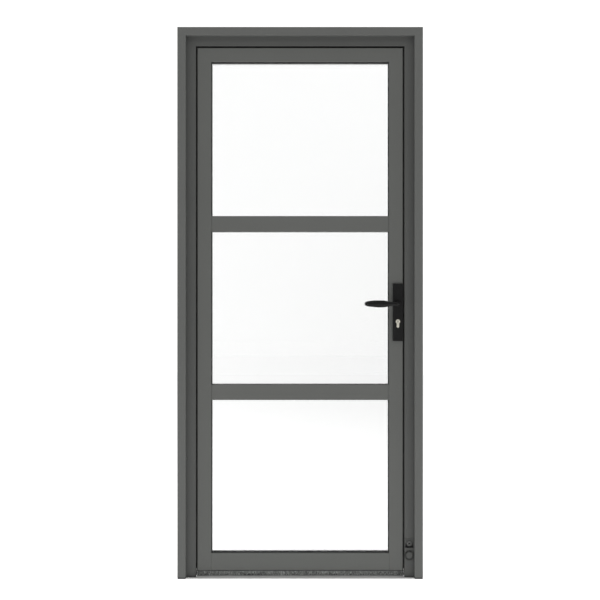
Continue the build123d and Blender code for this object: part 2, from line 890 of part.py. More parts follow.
def make_rods():
    """Two flat rods behind the faceplate, above and below the case, each with its roller."""
    u = (rod_u, rod_u + rod_thickness)
    v = around(hardware_v, rod_width)
    spans = (
        (rod_ends[0], case_ends[0] - rod_travel - rod_end_gap),
        (case_ends[1] + rod_end_gap, rod_ends[1]),
    )
    rods = []
    for span, height in zip(spans, roller_heights):
        roller = rod_x(hardware_v, height, roller_radius, (faceplate_u - roller_reach, rod_u + rod_thickness / 2))
        rods.append(side_block(u, v, span) + roller)
    return Compound(rods)


def make_cylinder():
    """The key cylinder's housing, its turning plug with the cam, and its fixing screw."""
    x = side_x(handle_u)
    v = (plate_front - cylinder_stand, 2 * leaf_middle_v - plate_front + cylinder_stand)
    housing = along_y(cylinder_outline(), x, key_height, v)
    housing -= rod_y(x, key_height, plug_radius + plug_play, (v[0] - 1, v[1] + 1))
    cam_v = around(hardware_v, cam_width)
    slot = 2 * (cylinder_radius + 1)
    gap_v = (cam_v[0] - cam_play, cam_v[1] + cam_play)
    housing -= block(around(x, slot), gap_v, (key_height - cam_reach - cam_play, key_height + slot / 2))
    screw_z = key_height - screw_drop
    screw = rod_x(hardware_v, screw_z, screw_radius, (faceplate_u, handle_u + cylinder_leg / 2))
    cam = rod_y(x, key_height, cylinder_radius - 0.5, cam_v)
    cam += block(around(x, cylinder_leg - 2), cam_v, (key_height - cam_reach + 1, key_height))
    plug = rod_y(x, key_height, plug_radius, v) + (cam & rod_y(x, key_height, cam_reach, cam_v))
    keyway_z = (key_height - plug_radius + 1, key_height - plug_radius + 1 + keyway_height)
    for keyway_v in ((v[0] - 1, v[0] + keyway_depth), (v[1] - keyway_depth, v[1] + 1)):
        plug -= block(around(x, keyway_width), keyway_v, keyway_z)
    return {"cylinder_housing": housing - screw, "cylinder_screw": screw, "cylinder_plug": plug}


# Handles

def make_lever():
    """The outside lever: a round neck, an elbow and a grip with elliptical sections."""
    x = side_x(handle_u)
    bend_v = grip_v + lever_bend
    neck = rod_y(x, lever_height, neck_radius, (bend_v, plate_front + neck_sink))
    start = Plane(origin=(x, door_y(bend_v), lever_height), x_dir=(1, 0, 0), z_dir=(0, -1, 0))
    turn = Axis((x - lever_bend, door_y(bend_v), lever_height), (0, 0, -1))
    elbow = revolve(start.location * Circle(neck_radius), axis=turn, revolution_arc=90)
    arm_length = grip_sections[0][0] - lever_bend
    arm_end = Plane(origin=(x - lever_bend, door_y(grip_v), lever_height), x_dir=(0, 0, 1), z_dir=(-1, 0, 0))
    arm = extrude(arm_end.location * Circle(neck_radius), amount=arm_length)
    sections = []
    for station, half_height, half_depth in grip_sections:
        plane = Plane(origin=(x - station, door_y(grip_v), lever_height), x_dir=(0, 0, 1), z_dir=(-1, 0, 0))
        sections.append(plane.location * Ellipse(half_height, half_depth))
    lever = neck + elbow + arm + loft(sections)
    socket = spindle_size + 2 * spindle_play
    deep = (plate_front + neck_sink - socket_depth, plate_front + neck_sink + 1)
    return lever - block(around(x, socket), deep, around(lever_height, socket))


def make_plate():
    x = side_x(handle_u)
    v = (plate_front, leaf_front)
    plate = block(around(x, plate_width), v, around(plate_centre_z, plate_length))
    plate = fillet(plate.edges().filter_by(Axis.Y), plate_radius)
    plate = fillet(plate.faces().sort_by(Axis.Y)[0].edges(), plate_radius)
    reach = (v[0] - 1, v[1] + 1)
    plate -= rod_y(x, lever_height, neck_radius + neck_play, reach)
    return plate - along_y(cylinder_outline(cylinder_play), x, key_height, reach)


def make_collar():
    x = side_x(handle_u)
    v = (plate_front - collar_thickness, plate_front)
    ring = rod_y(x, lever_height, collar_radius, v)
    ring = fillet(ring.faces().sort_by(Axis.Y)[0].edges(), plate_radius)
    return ring - rod_y(x, lever_height, neck_radius + neck_play, (v[0] - 1, v[1] + 1))


def inside_copy(piece):
    """The same piece on the leaf's inner face."""
    middle = Plane(origin=(0, door_y(leaf_middle_v), 0), z_dir=(0, 1, 0))
    return mirror(piece, about=middle)


def make_handles():
    x = side_x(handle_u)
    lever = make_lever()
    plate = make_plate()
    collar = make_collar()
    end = socket_depth - neck_sink - 1
    spindle_v = (plate_front - end, 2 * leaf_middle_v - plate_front + end)
    screws = [rod_y(x, z, plate_screw_radius, (leaf_front, leaf_back)) for z in plate_screw_heights()]
    return {
        "lever_outside": lever,
        "lever_inside": inside_copy(lever),
        "plate_outside": plate,
        "plate_inside": inside_copy(plate),
        "collar_outside": collar,
        "collar_inside": inside_copy(collar),
        "spindle": block(around(x, spindle_size), spindle_v, around(lever_height, spindle_size)),
        "handle_screws": Compound(screws),
    }


# Fitting low on the lock jamb

def keeper_box_limits(grow):
    """The room behind the keeper plate's window, in u, in depth and in Z, grown all round."""
    middle = (rim_width + face_width) / 2
    half = (face_width - rim_width) / 2 - fitting_plate_play - fitting_margin + grow
    low, high = fitting_window
    return (middle - half, middle + half), (rim_step, rim_step + keeper_box_depth + grow), (low - grow, high + grow)


def make_keeper_box():
    """An open box that lines the hole in the jamb, its walls behind the edges of the plate's window."""
    u, v, z = keeper_box_limits(0)
    return side_block(*keeper_box_limits(keeper_box_wall)) - side_block(u, (v[0] - 1, v[1]), z)


def make_fitting():
    """A keeper plate with a box in its window and an eye over it, and a round buffer below."""
    x = side_x((rim_width + face_width) / 2)
    width = face_width - rim_width - 2 * fitting_plate_play
    front = rim_step - fitting_plate
    plate = block(around(x, width), (front, rim_step), fitting_plate_ends)
    plate -= block(around(x, width - 2 * fitting_margin), (front - 1, rim_step + 1), fitting_window)

    def disc(z, radius, stand, rounding):
        whole = rod_y(x, z, radius, (front - stand, front))
        return fillet(whole.faces().sort_by(Axis.Y)[0].edges(), rounding)

    def bore(z, radius, stand):
        return rod_y(x, z, radius, (front - stand - 1, front + 1))

    eye_z = fitting_window[1]
    return {
        "foot_keeper_plate": plate,
        "foot_keeper_box": make_keeper_box(),
        "foot_keeper_eye": disc(eye_z, eye_radius, eye_stand, plate_radius) - bore(eye_z, eye_bore, eye_stand),
        "foot_buffer_collar": disc(buffer_height, buffer_radius, buffer_stand, buffer_round)
        - bore(buffer_height, buffer_bore, buffer_stand),
        "foot_buffer_cap": disc(buffer_height, buffer_bore - buffer_cap_play, buffer_cap_stand, plate_radius),
    }


def make_door():
    """Every sub-part of the door by its node's name."""
    nodes = make_frame()
    nodes["lock_keep"] = make_lock_keep()
    for name, height in zip(("lower", "upper"), roller_heights):
        nodes[f"roller_keep_{name}"] = make_roller_keep(height)
    nodes.update(make_hinges())
    nodes.update(make_fitting())
    nodes.update(make_leaf_profiles())
    nodes.update(make_brush())
    glass = make_glass()
    nodes.update(glass)
    nodes["glazing_beads"] = make_beads()
    nodes.update(make_bars(glass["gasket_outside"], glass["gasket_inside"]))
    nodes["lock_faceplate"] = make_faceplate()
    nodes["lock_case"] = make_case()
    nodes["latch_bolt"] = make_latch()
    nodes["dead_bolt"] = make_dead_bolt()
    nodes["lock_follower"] = make_follower()
    nodes["drive_rods"] = make_rods()
    nodes.update(make_cylinder())
    nodes.update(make_handles())
    return nodes


os.makedirs("parts", exist_ok=True)
for node, shape in make_door().items():
    export_step(shape, f"parts/{node}.step")
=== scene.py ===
"""The looks of a glazed PVC front door, laid out as an add-on and run as a script."""

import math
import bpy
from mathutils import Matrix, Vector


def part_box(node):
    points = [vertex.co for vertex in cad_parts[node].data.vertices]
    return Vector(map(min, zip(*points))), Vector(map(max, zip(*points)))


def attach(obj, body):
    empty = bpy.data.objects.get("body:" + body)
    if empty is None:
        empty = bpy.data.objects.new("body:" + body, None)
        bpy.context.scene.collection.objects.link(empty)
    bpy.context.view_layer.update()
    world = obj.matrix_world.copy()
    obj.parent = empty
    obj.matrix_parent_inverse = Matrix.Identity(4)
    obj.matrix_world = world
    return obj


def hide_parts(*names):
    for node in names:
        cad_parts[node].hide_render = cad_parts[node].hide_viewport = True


bl_info = {
    "name": "Glazed Front Door",
    "version": (1, 0, 0),
    "blender": (4, 5, 0),
    "location": "View3D > Sidebar > Door",
    "description": "Finishes a glazed front door with its frame, brush, fasteners and handles",
    "category": "Object",
}

import bmesh
import bpy
from bpy.props import FloatProperty, FloatVectorProperty, IntProperty, PointerProperty
from mathutils import Matrix, Vector

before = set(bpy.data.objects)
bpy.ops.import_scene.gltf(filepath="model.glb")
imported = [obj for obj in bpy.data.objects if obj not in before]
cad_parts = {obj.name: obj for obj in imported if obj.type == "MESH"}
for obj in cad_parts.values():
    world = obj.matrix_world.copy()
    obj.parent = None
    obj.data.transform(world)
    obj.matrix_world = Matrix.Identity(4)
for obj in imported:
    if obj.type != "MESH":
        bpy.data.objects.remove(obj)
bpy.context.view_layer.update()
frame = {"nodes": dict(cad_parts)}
nodes = frame["nodes"]

HINGE_LEVELS = ("lower", "middle", "upper")
BARS = ("bar_outside_lower", "bar_outside_upper", "bar_inside_lower", "bar_inside_upper")

# Share of a piece's depth, from its front to its inside face, and the grey of the painted shade multiplied
# into its finish there
# Painted shade on the frame: the recess inside the rim darkened, and the sides of the gap round the leaf
# nearly black, back to full colour towards the inside face
FRAME_PAINTED_SHADES = ((0.0, 1.0), (0.05, 1.0), (0.24, 0.81), (0.276, 0.81), (0.28, 0.15), (0.5, 0.15),
                (0.55, 0.75), (0.85, 1.0))
# Painted shade on the leaf's edges inside the gap round it, nearly black
LEAF_PAINTED_SHADES = ((0.0, 1.0), (0.0015, 1.0), (0.006, 0.15), (0.31, 0.15), (0.345, 1.0))
# Painted light on the sill: a little darker at its front edge and brightened towards the back, where the leaf
# and the brush shade it
SILL_PAINTED_LIGHT = ((0.0, 0.95), (0.2, 1.0), (0.65, 1.36))
# Painted shade on the buffer's ring: its grooves and the lower part of its sides darkened
BUFFER_PAINTED_SHADES = ((0.0, 1.0), (0.2, 1.0), (0.45, 0.2))

# Width of the frame's rim, which is spared the painted shade, and how far inside the frame the leaf's edges
# get painted shade
RIM_WIDTH = 0.030
EDGE_REACH = 0.0085

# Tones of the glass at the head of the hinge side and at the foot of the lock side: a grey tint, darker
# towards the foot of the lock side with a painted reflection
GLASS_TINT_AND_PAINTED_REFLECTION = ((0.86, 0.866, 0.862), (0.715, 0.721, 0.717))

WHITE = (1.0, 1.0, 1.0, 1.0)
MERGE_DISTANCE = 0.000005

# How far outside a surface the search for it begins, and how squarely a face has to look along an axis
LOOK_FROM = 0.01
FACING = 0.9

# Distance from the spindle, half height and half depth of the lever's arm and grip, in metres
GRIP_STATIONS = (
    (0.0200, 0.0085, 0.0085),
    (0.0300, 0.0083, 0.0083),
    (0.0370, 0.0089, 0.0081),
    (0.0440, 0.0112, 0.0076),
    (0.0520, 0.0133, 0.0071),
    (0.0680, 0.0144, 0.0068),
    (0.0880, 0.0138, 0.0064),
    (0.1070, 0.0118, 0.0059),
    (0.1180, 0.0092, 0.0051),
    (0.1230, 0.0062, 0.0038),
    (0.1240, 0.0040, 0.0028),
)


def colour_property(name, description, default):
    """A colour that the user can change."""
    return FloatVectorProperty(name=name, description=description, default=default, size=3,
                               subtype="COLOR", min=0.0, max=1.0)


def length_property(name, description, default):
    """A length that the user can change."""
    return FloatProperty(name=name, description=description, default=default, unit="LENGTH", min=0.0)


class DoorColours(bpy.types.PropertyGroup):
    """Colours of the door's finishes."""

    frame: colour_property("Frame", "Foil on the frame's profiles", (0.112, 0.115, 0.110))
    leaf: colour_property("Leaf", "Foil on the leaf's profiles", (0.108, 0.111, 0.105))
    rail: colour_property("Bottom rail", "Foil on the leaf's bottom rail", (0.110, 0.114, 0.107))
    bars: colour_property("Bars", "Foil on the glazing bars", (0.112, 0.115, 0.109))
    seal: colour_property("Seals", "Rubber of the seals and gaskets", (0.012, 0.012, 0.012))
    handle: colour_property("Handles", "Coating of the levers and plates", (0.009, 0.009, 0.009))
    cylinder: colour_property("Cylinder", "Plating of the key cylinder", (0.70, 0.67, 0.58))
    fitting: colour_property("Foot fitting", "Coating of the fitting low on the jamb", (0.086, 0.088, 0.084))
    sill: colour_property("Sill", "Anodised threshold", (0.70, 0.70, 0.69))
    brush: colour_property("Brush", "Pile of the brush", (0.40, 0.41, 0.40))


class DoorSizes(bpy.types.PropertyGroup):
    """Sizes of the pieces that are added to the door."""

    bristle_pitch: length_property("Bristle pitch", "Spacing of the tufts along the brush", 0.0019)
    bristle_radius: length_property("Bristle radius", "Radius of a tuft at its root", 0.00095)
    bristle_rows: IntProperty(name="Bristle rows", description="Rows of tufts across the brush",
                              default=3, min=1, max=6)
    brush_reach: length_property("Brush reach", "How far the pile stands out of its holder's ends", 0.003)
    screw_radius: length_property("Screw radius", "Radius of a fixing screw's head", 0.0036)
    screw_height: length_property("Screw height", "Height of a fixing screw's head", 0.0012)
    plate_screw_radius: length_property("Plate screw radius", "Radius of a handle screw's head", 0.0042)
    head_radius: length_property("Head radius", "Radius of the cylinder's round head", 0.0085)
    plug_radius: length_property("Plug radius", "Radius of the plug's faces", 0.0064)
    plug_face: length_property("Plug face", "Thickness of the plug's faces", 0.0006)
    key_width: length_property("Key entry width", "Width of the flared entry for the key", 0.0036)
    key_height: length_property("Key entry height", "Height of the flared entry for the key", 0.0084)
    neck_radius: length_property("Neck radius", "Radius of the lever's round neck", 0.0085)
    lever_bend: length_property("Lever bend", "Radius of the lever's elbow", 0.012)


class DoorStudio(bpy.types.PropertyGroup):
    """The studio round the door."""

    camera_height: length_property("Camera height", "Height of the camera above the floor", 1.1018)
    camera_distance: length_property("Camera distance", "From the camera to the frame's front", 4.4)
    lens: FloatProperty(name="Lens", description="Focal length of the camera", default=66.88, min=1.0)
    backdrop: FloatProperty(name="Backdrop", description="Brightness of what shows behind the door",
                            default=1.13, min=0.0)
    fill: FloatProperty(name="Fill", description="Light that comes from all round", default=0.1, min=0.0)
    floor_glow: FloatProperty(name="Floor glow", description="Light that the floor gives by itself",
                              default=0.92, min=0.0)
    overhead: FloatProperty(name="Overhead", description="Power of the lamp above the door", unit="POWER",
                            default=165, min=0.0)
    sides: FloatProperty(name="Side lamps", description="Power of the lamps beside the door", unit="POWER",
                         default=30, min=0.0)


def settings():
    """The colours, sizes and studio settings of this scene."""
    scene = bpy.context.scene
    return scene.door_colours, scene.door_sizes, scene.door_studio


# Materials

class Finish:
    """A material under construction, with its shader and helpers for its textures."""

    def __init__(self, name):
        self.material = bpy.data.materials.new(name)
        self.material.use_nodes = True
        self.tree = self.material.node_tree
        self.shader = self.tree.nodes["Principled BSDF"]
        self.place = self.tree.nodes.new("ShaderNodeTexCoord").outputs["Object"]

    def feed(self, socket, value):
        """Links an output of a node to a socket, or sets the socket to a value."""
        if isinstance(value, bpy.types.NodeSocket):
            self.tree.links.new(value, socket)
        else:
            socket.default_value = value

    def set(self, **values):
        """Sets sockets of the shader to values."""
        for name, value in values.items():
            self.shader.inputs[name.replace("_", " ")].default_value = value

    def node(self, kind, **values):
        """A new node with its sockets fed."""
        node = self.tree.nodes.new(kind)
        for name, value in values.items():
            self.feed(node.inputs[name.replace("_", " ")], value)
        return node

    def stretched(self, scale):
        return self.node("ShaderNodeMapping", Vector=self.place, Scale=scale).outputs["Vector"]

    def noise(self, scale, detail=2.0, stretch=None):
        source = self.stretched(stretch) if stretch else self.place
        node = self.node("ShaderNodeTexNoise", Vector=source, Scale=scale, Detail=detail)
        return node.outputs["Fac"]

    def split(self):
        """The X, Y and Z of a point of the piece."""
        return self.node("ShaderNodeSeparateXYZ", Vector=self.place).outputs

    def ramp(self, value, stops):
        """A colour that follows a value from stop to stop."""
        node = self.node("ShaderNodeValToRGB", Fac=value)
        elements = node.color_ramp.elements
        while len(elements) < len(stops):
            elements.new(0.5)
        for element, (position, colour) in zip(elements, stops):
            element.position = position
            element.color = (*colour, 1.0)
        return node.outputs["Color"]

    def share(self, value, start, end):
        """How far a value has gone from start to end, as a share between nought and one."""
        node = self.node("ShaderNodeMapRange", Value=value, From_Min=start, From_Max=end)
        return node.outputs["Result"]

    def calculate(self, operation, first, second=0.0):
        node = self.node("ShaderNodeMath")
        node.operation = operation
        self.feed(node.inputs[0], first)
        self.feed(node.inputs[1], second)
        return node.outputs["Value"]

    def mix(self, blend, factor, first, second):
        """Two colours blended into one."""
        node = self.node("ShaderNodeMix")
        node.data_type = "RGBA"
        node.blend_type = blend
        for name, value in (("Factor", factor), ("A", first), ("B", second)):
            self.feed(node.inputs[name], value)
        return node.outputs["Result"]

    def tint(self, value, colour, spread, painted_shade=None):
        """The colour made a little darker and lighter by a texture, and multiplied by a painted shade where
        one is given.
        """
        dark = tuple(channel * (1 - spread) for channel in colour)
        light = tuple(min(1.0, channel * (1 + spread)) for channel in colour)
        result = self.ramp(value, ((0.3, dark), (0.7, light)))
        if painted_shade:
            result = self.mix("MULTIPLY", 1.0, result, painted_shade)
        self.tree.links.new(result, self.shader.inputs["Base Color"])

    def by_depth(self, node, painted_shades):
        """Painted shade: greys that follow the depth of a point in a CAD node, as a share of the node's
        depth.
        """
        low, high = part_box(node)
        depth = self.share(self.split()["Y"], low[1], high[1])
        return self.ramp(depth, [(share, (grey,) * 3) for share, grey in painted_shades])

    def beyond(self, half, top):
        """One beyond a half width of the door or above a height, and nought within them."""
        place = self.split()
        aside = self.calculate("GREATER_THAN", self.calculate("ABSOLUTE", place["X"]), half)
        return self.calculate("MAXIMUM", aside, self.calculate("GREATER_THAN", place["Z"], top))

    def where(self, zone, colour):
        """A colour where the zone is one, and white where it is nought."""
        return self.mix("MIX", zone, WHITE, colour)

    def rough(self, value, low, high):
        node = self.node("ShaderNodeMapRange", Value=value, To_Min=low, To_Max=high)
        self.tree.links.new(node.outputs["Result"], self.shader.inputs["Roughness"])

    def bump(self, value, strength, distance):
        node = self.node("ShaderNodeBump", Height=value, Strength=strength, Distance=distance)
        self.tree.links.new(node.outputs["Normal"], self.shader.inputs["Normal"])


def recess_painted_shade(finish):
    """Painted shade on the frame's recess and on the sides of the gap round the leaf, which spares the rim
    round it.
    """
    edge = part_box("head")[1]
    rim = finish.beyond(edge[0] - RIM_WIDTH, edge[2] - RIM_WIDTH)
    recess = finish.calculate("SUBTRACT", 1.0, rim)
    return finish.where(recess, finish.by_depth("head", FRAME_PAINTED_SHADES))


def edge_painted_shade(finish):
    """Painted shade on the leaf's edges, which form the inner side of the gap round it, nearly black there.
    """
    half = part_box("jamb_lock_side")[0][0] - EDGE_REACH
    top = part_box("head")[0][2] - EDGE_REACH
    return finish.where(finish.beyond(half, top), finish.by_depth("top_rail", LEAF_PAINTED_SHADES))


def foil(name, colour, painted_shading=None):
    """Satin foil on PVC, with a fine leather grain and hardly any change of colour, and painted shade where a
    shading is given.
    """
    finish = Finish(name)
    painted_shade = painted_shading(finish) if painted_shading else None
    finish.tint(finish.noise(2.5, 3.0), colour, spread=0.03, painted_shade=painted_shade)
    grain = finish.noise(1100.0, 3.0)
    finish.rough(grain, low=0.42, high=0.56)
    finish.bump(grain, strength=0.12, distance=0.0002)
    finish.set(Specular_IOR_Level=0.3)
    return finish.material


def rubber(name, colour):
    """Matt black rubber with a little dust on it."""
    finish = Finish(name)
    dust = finish.noise(400.0, 4.0)
    finish.tint(dust, colour, spread=0.25)
    finish.rough(dust, low=0.62, high=0.8)
    finish.bump(finish.noise(2200.0), strength=0.1, distance=0.0001)
    return finish.material


def moulded(name, colour):
    """Moulded plastic with a dull, faintly mottled skin."""
    finish = Finish(name)
    skin = finish.noise(700.0, 2.0)
    finish.tint(skin, colour, spread=0.08)
    finish.rough(skin, low=0.5, high=0.65)
    finish.bump(skin, strength=0.08, distance=0.0001)
    return finish.material


def anodised(name, colour):
    """Extruded aluminium with draw lines along X, and painted light that brightens it towards the back."""
    finish = Finish(name)
    lines = finish.noise(900.0, 3.0, (0.004, 1.0, 1.0))
    finish.tint(lines, colour, spread=0.06, painted_shade=finish.by_depth("sill", SILL_PAINTED_LIGHT))
    finish.rough(lines, low=0.38, high=0.52)
    finish.bump(lines, strength=0.15, distance=0.0001)
    finish.set(Metallic=0.05)
    return finish.material


def coated(name, colour, node=None, painted_shades=None):
    """Matt powder coating with an orange-peel skin, with painted shade that follows its depth in a node where
    asked.
    """
    finish = Finish(name)
    peel = finish.noise(650.0, 2.0)
    painted_shade = finish.by_depth(node, painted_shades) if node else None
    finish.tint(finish.noise(30.0), colour, spread=0.1, painted_shade=painted_shade)
    finish.rough(peel, low=0.38, high=0.5)
    finish.bump(peel, strength=0.14, distance=0.0002)
    finish.set(Specular_IOR_Level=0.15)
    return finish.material


def plated(name, colour, roughness=0.3, metallic=1.0):
    """Plated metal with fine marks."""
    finish = Finish(name)
    marks = finish.noise(500.0, 5.0, (1.0, 0.2, 1.0))
    finish.tint(marks, colour, spread=0.07)
    finish.rough(marks, low=roughness - 0.06, high=roughness + 0.1)
    finish.bump(marks, strength=0.08, distance=0.0001)
    finish.set(Metallic=metallic)
    return finish.material


def pile(name, colour):
    """Grey fibres, mottled from tuft to tuft."""
    finish = Finish(name)
    tufts = finish.noise(420.0, 3.0, (1.0, 1.0, 0.25))
    dark = tuple(channel * 0.35 for channel in colour)
    light = tuple(channel * 2.3 for channel in colour)
    result = finish.ramp(tufts, ((0.36, dark), (0.5, colour), (0.66, light)))
    finish.tree.links.new(result, finish.shader.inputs["Base Color"])
    finish.rough(tufts, low=0.7, high=0.9)
    return finish.material


def float_glass(name):
    """Clear glass with the faintest green in its body, and a painted reflection that greys it towards the
    foot of the lock side.
    """
    finish = Finish(name)
    low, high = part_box("glass_outer_pane")
    place = finish.split()
    across = finish.share(place["X"], low[0], high[0])
    down = finish.share(place["Z"], high[2], low[2])
    # Painted reflection: the glass greys from the head of the hinge side to the foot of the lock side
    tint_and_painted_reflection = finish.ramp(finish.calculate("MULTIPLY", across, down), tuple(zip((0.0, 1.0), GLASS_TINT_AND_PAINTED_REFLECTION)))
    finish.tint(finish.noise(1.2, 2.0), (0.99, 0.99, 0.99), spread=0.004, painted_shade=tint_and_painted_reflection)
    finish.set(Roughness=0.0, IOR=1.45, Transmission_Weight=1.0, Alpha=0.35)
    return finish.material


def dress(material, names):
    """Gives CAD nodes a material."""
    for name in names:
        slots = nodes[name].data.materials
        slots.clear()
        slots.append(material)


# Modelling

def deselect():
    """Leaves edit mode with nothing selected."""
    if bpy.context.mode != "OBJECT":
        bpy.ops.object.mode_set(mode="OBJECT")
    bpy.ops.object.select_all(action="DESELECT")


def active(piece):
    """Makes a piece the only one selected."""
    deselect()
    piece.select_set(True)
    bpy.context.view_layer.objects.active = piece


def settle(piece, name, material):
    """Names a finished piece, puts its place into its mesh and gives it its material."""
    active(piece)
    bpy.ops.object.transform_apply(location=True, rotation=True, scale=True)
    bpy.ops.object.mode_set(mode="EDIT")
    bpy.ops.mesh.select_all(action="SELECT")
    bpy.ops.mesh.remove_doubles(threshold=MERGE_DISTANCE)
    bpy.ops.mesh.normals_make_consistent(inside=False)
    bpy.ops.object.mode_set(mode="OBJECT")
    piece.name = name
    piece.data.name = name
    piece.data.materials.clear()
    piece.data.materials.append(material)


def apply_modifier(piece, kind, **values):
    """Applies a new modifier of a kind to a piece."""
    active(piece)
    modifier = piece.modifiers.new(kind.title(), kind)
    for key, value in values.items():
        setattr(modifier, key, value)
    bpy.ops.object.modifier_apply(modifier=modifier.name)


def smooth(piece, degrees):
    """Shades a piece smooth, but for the edges that turn by more than an angle."""
    active(piece)
    bpy.ops.object.shade_smooth_by_angle(angle=math.radians(degrees))


def pick_faces(piece, test):
    """Selects the faces of the piece in edit mode whose centre and normal pass a test."""
    bpy.ops.mesh.select_mode(type="FACE")
    bpy.ops.mesh.select_all(action="DESELECT")
    mesh = bmesh.from_edit_mesh(piece.data)
    for face in mesh.faces:
        if test(face.calc_center_median(), face.normal):
            face.select_set(True)
    bmesh.update_edit_mesh(piece.data)


def pick_points(piece, test):
    """Selects the points of the piece in edit mode that pass a test."""
    bpy.ops.mesh.select_mode(type="VERT")
    bpy.ops.mesh.select_all(action="DESELECT")
    mesh = bmesh.from_edit_mesh(piece.data)
    for point in mesh.verts:
        if test(point.co):
            point.select_set(True)
    mesh.select_flush_mode()
    bmesh.update_edit_mesh(piece.data)


def open_primitive():
    """The primitive just added, in edit mode, with its place and size in its mesh."""
    piece = bpy.context.object
    bpy.ops.object.transform_apply(location=True, rotation=True, scale=True)
    bpy.ops.object.mode_set(mode="EDIT")
    return piece


def cut(piece, cutter):
    """Takes the cutter's shape out of a piece, and the cutter out of the scene."""
    apply_modifier(piece, "BOOLEAN", operation="DIFFERENCE", object=cutter, solver="EXACT")
    bpy.data.objects.remove(cutter)


def push(value):
    """Extrudes what is selected in edit mode by a vector."""
    bpy.ops.mesh.extrude_region_move(TRANSFORM_OT_translate={"value": value})


def join(pieces):
    """Joins pieces into the first of them."""
    deselect()
    for piece in pieces:
        piece.select_set(True)
    bpy.context.view_layer.objects.active = pieces[0]
    bpy.ops.object.join()
    return pieces[0]


def copies(piece, places):
    """Copies of a piece modelled at the origin, each with its own mesh, joined into one."""
    made = []
    for place in places:
        copy = piece.copy()
        copy.data = piece.data.copy()
        bpy.context.collection.objects.link(copy)
        copy.matrix_world = place
        active(copy)
        bpy.ops.object.transform_apply(location=True, rotation=True, scale=True)
        made.append(copy)
    bpy.data.objects.remove(piece)
    return join(made)


def centre_of(node):
    """The middle of a CAD node's box."""
    return [(a + b) / 2 for a, b in zip(*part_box(node))]


def facing(point, normal):
    """A place whose local +Z points along a normal."""
    turn = Vector((0.0, 0.0, 1.0)).rotation_difference(Vector(normal))
    return Matrix.Translation(Vector(point)) @ turn.to_matrix().to_4x4()


# Finishes of the CAD nodes

class DOOR_OT_profiles(bpy.types.Operator):
    """Give the frame, the leaf and the glazing bars their satin foil"""

    bl_idname = "door.profiles"
    bl_label = "Finish the profiles"

    def execute(self, context):
        colours = settings()[0]
        # The frame's foil carries painted shade in its recess and in the gap round the leaf
        frame_foil = foil("Frame Foil", colours.frame, recess_painted_shade)
        dress(frame_foil, ("jamb_hinge_side", "jamb_lock_side", "head"))
        # The leaf's foil carries painted shade on its edges in the gap
        leaf = foil("Leaf Foil", colours.leaf, edge_painted_shade)
        dress(leaf, ("stile_hinge_side", "stile_lock_side", "top_rail", "glazing_beads"))
        dress(foil("Rail Foil", colours.rail), ("bottom_rail",))
        dress(foil("Bar Foil", colours.bars), BARS)
        black = moulded("Moulded Black", (0.03, 0.03, 0.03))
        dress(black, ("jamb_feet", "stile_end_caps", "setting_blocks", "brush_holder", "foot_keeper_box"))
        dress(rubber("Seal Rubber", colours.seal), ("frame_seal", "leaf_seal"))
        dress(plated("Galvanised Steel", (0.42, 0.43, 0.44), roughness=0.42), ("frame_steel", "leaf_steel"))
        dress(anodised("Anodised Sill", colours.sill), ("sill",))
        return {"FINISHED"}


class DOOR_OT_glazing(bpy.types.Operator):
    """Give the panes, their spacer and their gaskets their finishes"""

    bl_idname = "door.glazing"
    bl_label = "Finish the glazing"

    def execute(self, context):
        colours = settings()[0]
        dress(float_glass("Float Glass"), ("glass_outer_pane", "glass_inner_pane"))
        dress(rubber("Glazing Gasket", colours.seal), ("gasket_outside", "gasket_inside"))
        dress(moulded("Warm Edge Spacer", (0.02, 0.02, 0.021)), ("glass_spacer",))
        return {"FINISHED"}


class DOOR_OT_hardware(bpy.types.Operator):
    """Give the hinges, the lock, the cylinder and the handles their finishes"""

    bl_idname = "door.hardware"
    bl_label = "Finish the hardware"

    def execute(self, context):
        colours = settings()[0]
        hinge = coated("Hinge Coating", colours.handle)
        dress(hinge, [f"hinge_{part}_{level}" for part in ("frame", "sash") for level in HINGE_LEVELS])
        dress(moulded("Hinge Washer", (0.02, 0.02, 0.02)), ("hinge_washers",))
        zinc = plated("Zinc Plated Steel", (0.5, 0.51, 0.52), roughness=0.36)
        dress(zinc, ("lock_case", "drive_rods", "hinge_pins", "spindle", "handle_screws", "lock_follower"))
        nickel = plated("Nickel Silver", (0.6, 0.6, 0.59), roughness=0.26)
        dress(nickel, ("lock_faceplate", "latch_bolt", "dead_bolt", "lock_keep"))
        dress(nickel, ("roller_keep_lower", "roller_keep_upper"))
        housing = plated("Cylinder Nickel", colours.cylinder, roughness=0.34, metallic=0.5)
        dress(housing, ("cylinder_housing",))
        # The plug is near black as painted shadow, which shows through the key's entry in its bright faces
        plug = plated("Plug Painted Shadow", (0.012, 0.012, 0.012), roughness=0.5, metallic=0.5)
        dress(plug, ("cylinder_plug",))
        dress(zinc, ("cylinder_screw",))
        handle = coated("Handle Coating", colours.handle)
        dress(handle, ("plate_outside", "plate_inside", "collar_outside", "collar_inside"))
        dress(handle, ("lever_outside", "lever_inside"))
        fitting = coated("Fitting Coating", colours.fitting)
        dress(fitting, ("foot_keeper_plate", "foot_keeper_eye", "foot_buffer_collar", "foot_buffer_cap"))
        return {"FINISHED"}


# Brush

